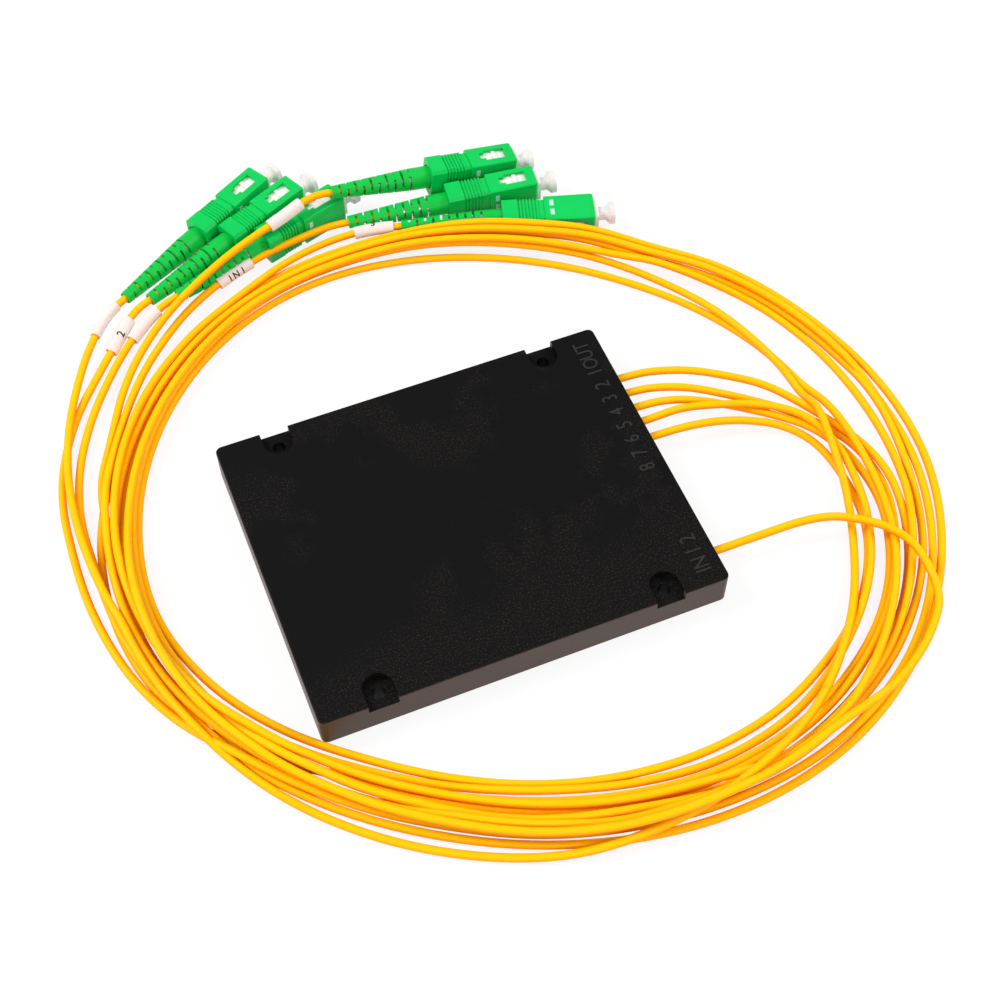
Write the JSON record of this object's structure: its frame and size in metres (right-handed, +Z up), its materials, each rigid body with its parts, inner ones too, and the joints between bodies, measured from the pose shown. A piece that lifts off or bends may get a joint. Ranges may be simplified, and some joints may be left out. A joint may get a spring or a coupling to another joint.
{
  "type": "plc fibre splitter",
  "caption": "Flat boxed planar fibre splitter with screw ears, long coiled yellow cable legs and green push-pull plugs with dust caps.",
  "frame": {"origin": "middle of the box's underside", "axes": "+X along the box's long side, out of the wall the cables leave by; +Y across the box; +Z up out of the cover"},
  "size_m": [0.2048, 0.2213, 0.0136],
  "materials": {
    "box_black": "fine-grained matt moulding",
    "module_steel": "satin",
    "boot_rubber": "matt",
    "chip_glass": "polished",
    "foam": "open foam, matt",
    "buffer_white": "smooth",
    "crimp_metal": "satin",
    "post_metal": "nickel, satin",
    "sleeve_pale": "satin shrink sleeve",
    "jacket_yellow": "smooth, soft gloss",
    "plug_green": "semi-gloss",
    "boot_green": "soft satin",
    "frame_white": "semi-gloss",
    "ferrule_ceramic": "polished",
    "spring_steel": "bright wire",
    "cap_clear": "translucent, soft gloss"
  },
  "bodies": {
    "splitter": {"base_shell": "box_black", "cover": "box_black", "splitter_module": "module_steel", "module_end_boots": "boot_rubber", "plc_chip": "chip_glass", "module_pad": "foam", "buffer_fibres": "buffer_white", "cable_anchors": "crimp_metal", "back_posts": "post_metal", "crimp_rings": "crimp_metal", "marker_sleeves": "sleeve_pale", "cord_coil": "jacket_yellow", "inner_frame_out_1": "frame_white", "spring_out_1": "spring_steel", "boot_out_1": "boot_green", "lead_out_1": "jacket_yellow", "tail_out_1": "jacket_yellow", "inner_frame_out_2": "frame_white", "spring_out_2": "spring_steel", "boot_out_2": "boot_green", "lead_out_2": "jacket_yellow", "tail_out_2": "jacket_yellow", "inner_frame_out_3": "frame_white", "spring_out_3": "spring_steel", "boot_out_3": "boot_green", "lead_out_3": "jacket_yellow", "tail_out_3": "jacket_yellow", "inner_frame_out_4": "frame_white", "spring_out_4": "spring_steel", "boot_out_4": "boot_green", "lead_out_4": "jacket_yellow", "tail_out_4": "jacket_yellow", "inner_frame_out_5": "frame_white", "spring_out_5": "spring_steel", "boot_out_5": "boot_green", "lead_out_5": "jacket_yellow", "tail_out_5": "jacket_yellow", "inner_frame_in_1": "frame_white", "spring_in_1": "spring_steel", "boot_in_1": "boot_green", "lead_in_1": "jacket_yellow", "tail_in_1": "jacket_yellow"},
    "grip_out_1": {"outer_housing_out_1": "plug_green"},
    "ferrule_out_1": {"ferrule_out_1": "ferrule_ceramic"},
    "cap_out_1": {"dust_cap_out_1": "cap_clear"},
    "grip_out_2": {"outer_housing_out_2": "plug_green"},
    "ferrule_out_2": {"ferrule_out_2": "ferrule_ceramic"},
    "cap_out_2": {"dust_cap_out_2": "cap_clear"},
    "grip_out_3": {"outer_housing_out_3": "plug_green"},
    "ferrule_out_3": {"ferrule_out_3": "ferrule_ceramic"},
    "cap_out_3": {"dust_cap_out_3": "cap_clear"},
    "grip_out_4": {"outer_housing_out_4": "plug_green"},
    "ferrule_out_4": {"ferrule_out_4": "ferrule_ceramic"},
    "cap_out_4": {"dust_cap_out_4": "cap_clear"},
    "grip_out_5": {"outer_housing_out_5": "plug_green"},
    "ferrule_out_5": {"ferrule_out_5": "ferrule_ceramic"},
    "cap_out_5": {"dust_cap_out_5": "cap_clear"},
    "grip_in_1": {"outer_housing_in_1": "plug_green"},
    "ferrule_in_1": {"ferrule_in_1": "ferrule_ceramic"},
    "cap_in_1": {"dust_cap_in_1": "cap_clear"}
  },
  "joints": [
    {"name": "grip_slide_out_1", "type": "slide", "parent": "splitter", "child": "grip_out_1", "axis": [-0.866, -0.5, 0], "range_m": [0, 0.002]},
    {"name": "ferrule_spring_out_1", "type": "slide", "parent": "splitter", "child": "ferrule_out_1", "axis": [-0.866, -0.5, 0], "range_m": [0, 0.0008], "stiffness_N_per_m": 500, "deforming": ["spring_out_1"]},
    {"name": "cap_pull_out_1", "type": "slide", "parent": "splitter", "child": "cap_out_1", "axis": [0.866, 0.5, 0], "range_m": [0, 0.007]},
    {"name": "grip_slide_out_2", "type": "slide", "parent": "splitter", "child": "grip_out_2", "axis": [-0.9063, -0.4226, 0], "range_m": [0, 0.002]},
    {"name": "ferrule_spring_out_2", "type": "slide", "parent": "splitter", "child": "ferrule_out_2", "axis": [-0.9063, -0.4226, 0], "range_m": [0, 0.0008], "stiffness_N_per_m": 500, "deforming": ["spring_out_2"]},
    {"name": "cap_pull_out_2", "type": "slide", "parent": "splitter", "child": "cap_out_2", "axis": [0.9063, 0.4226, 0], "range_m": [0, 0.007]},
    {"name": "grip_slide_out_3", "type": "slide", "parent": "splitter", "child": "grip_out_3", "axis": [-0.9511, -0.309, 0], "range_m": [0, 0.002]},
    {"name": "ferrule_spring_out_3", "type": "slide", "parent": "splitter", "child": "ferrule_out_3", "axis": [-0.9511, -0.309, 0], "range_m": [0, 0.0008], "stiffness_N_per_m": 500, "deforming": ["spring_out_3"]},
    {"name": "cap_pull_out_3", "type": "slide", "parent": "splitter", "child": "cap_out_3", "axis": [0.9511, 0.309, 0], "range_m": [0, 0.007]},
    {"name": "grip_slide_out_4", "type": "slide", "parent": "splitter", "child": "grip_out_4", "axis": [-0.9899, 0.0259, 0.1392], "range_m": [0, 0.002]},
    {"name": "ferrule_spring_out_4", "type": "slide", "parent": "splitter", "child": "ferrule_out_4", "axis": [-0.9899, 0.0259, 0.1392], "range_m": [0, 0.0008], "stiffness_N_per_m": 500, "deforming": ["spring_out_4"]},
    {"name": "cap_pull_out_4", "type": "slide", "parent": "splitter", "child": "cap_out_4", "axis": [0.9899, -0.0259, -0.1392], "range_m": [0, 0.007]},
    {"name": "grip_slide_out_5", "type": "slide", "parent": "splitter", "child": "grip_out_5", "axis": [-0.9553, 0.2957, 0], "range_m": [0, 0.002]},
    {"name": "ferrule_spring_out_5", "type": "slide", "parent": "splitter", "child": "ferrule_out_5", "axis": [-0.9553, 0.2957, 0], "range_m": [0, 0.0008], "stiffness_N_per_m": 500, "deforming": ["spring_out_5"]},
    {"name": "cap_pull_out_5", "type": "slide", "parent": "splitter", "child": "cap_out_5", "axis": [0.9553, -0.2957, 0], "range_m": [0, 0.007]},
    {"name": "grip_slide_in_1", "type": "slide", "parent": "splitter", "child": "grip_in_1", "axis": [-0.9925, 0.1219, 0], "range_m": [0, 0.002]},
    {"name": "ferrule_spring_in_1", "type": "slide", "parent": "splitter", "child": "ferrule_in_1", "axis": [-0.9925, 0.1219, 0], "range_m": [0, 0.0008], "stiffness_N_per_m": 500, "deforming": ["spring_in_1"]},
    {"name": "cap_pull_in_1", "type": "slide", "parent": "splitter", "child": "cap_in_1", "axis": [0.9925, -0.1219, 0], "range_m": [0, 0.007]}
  ]
}
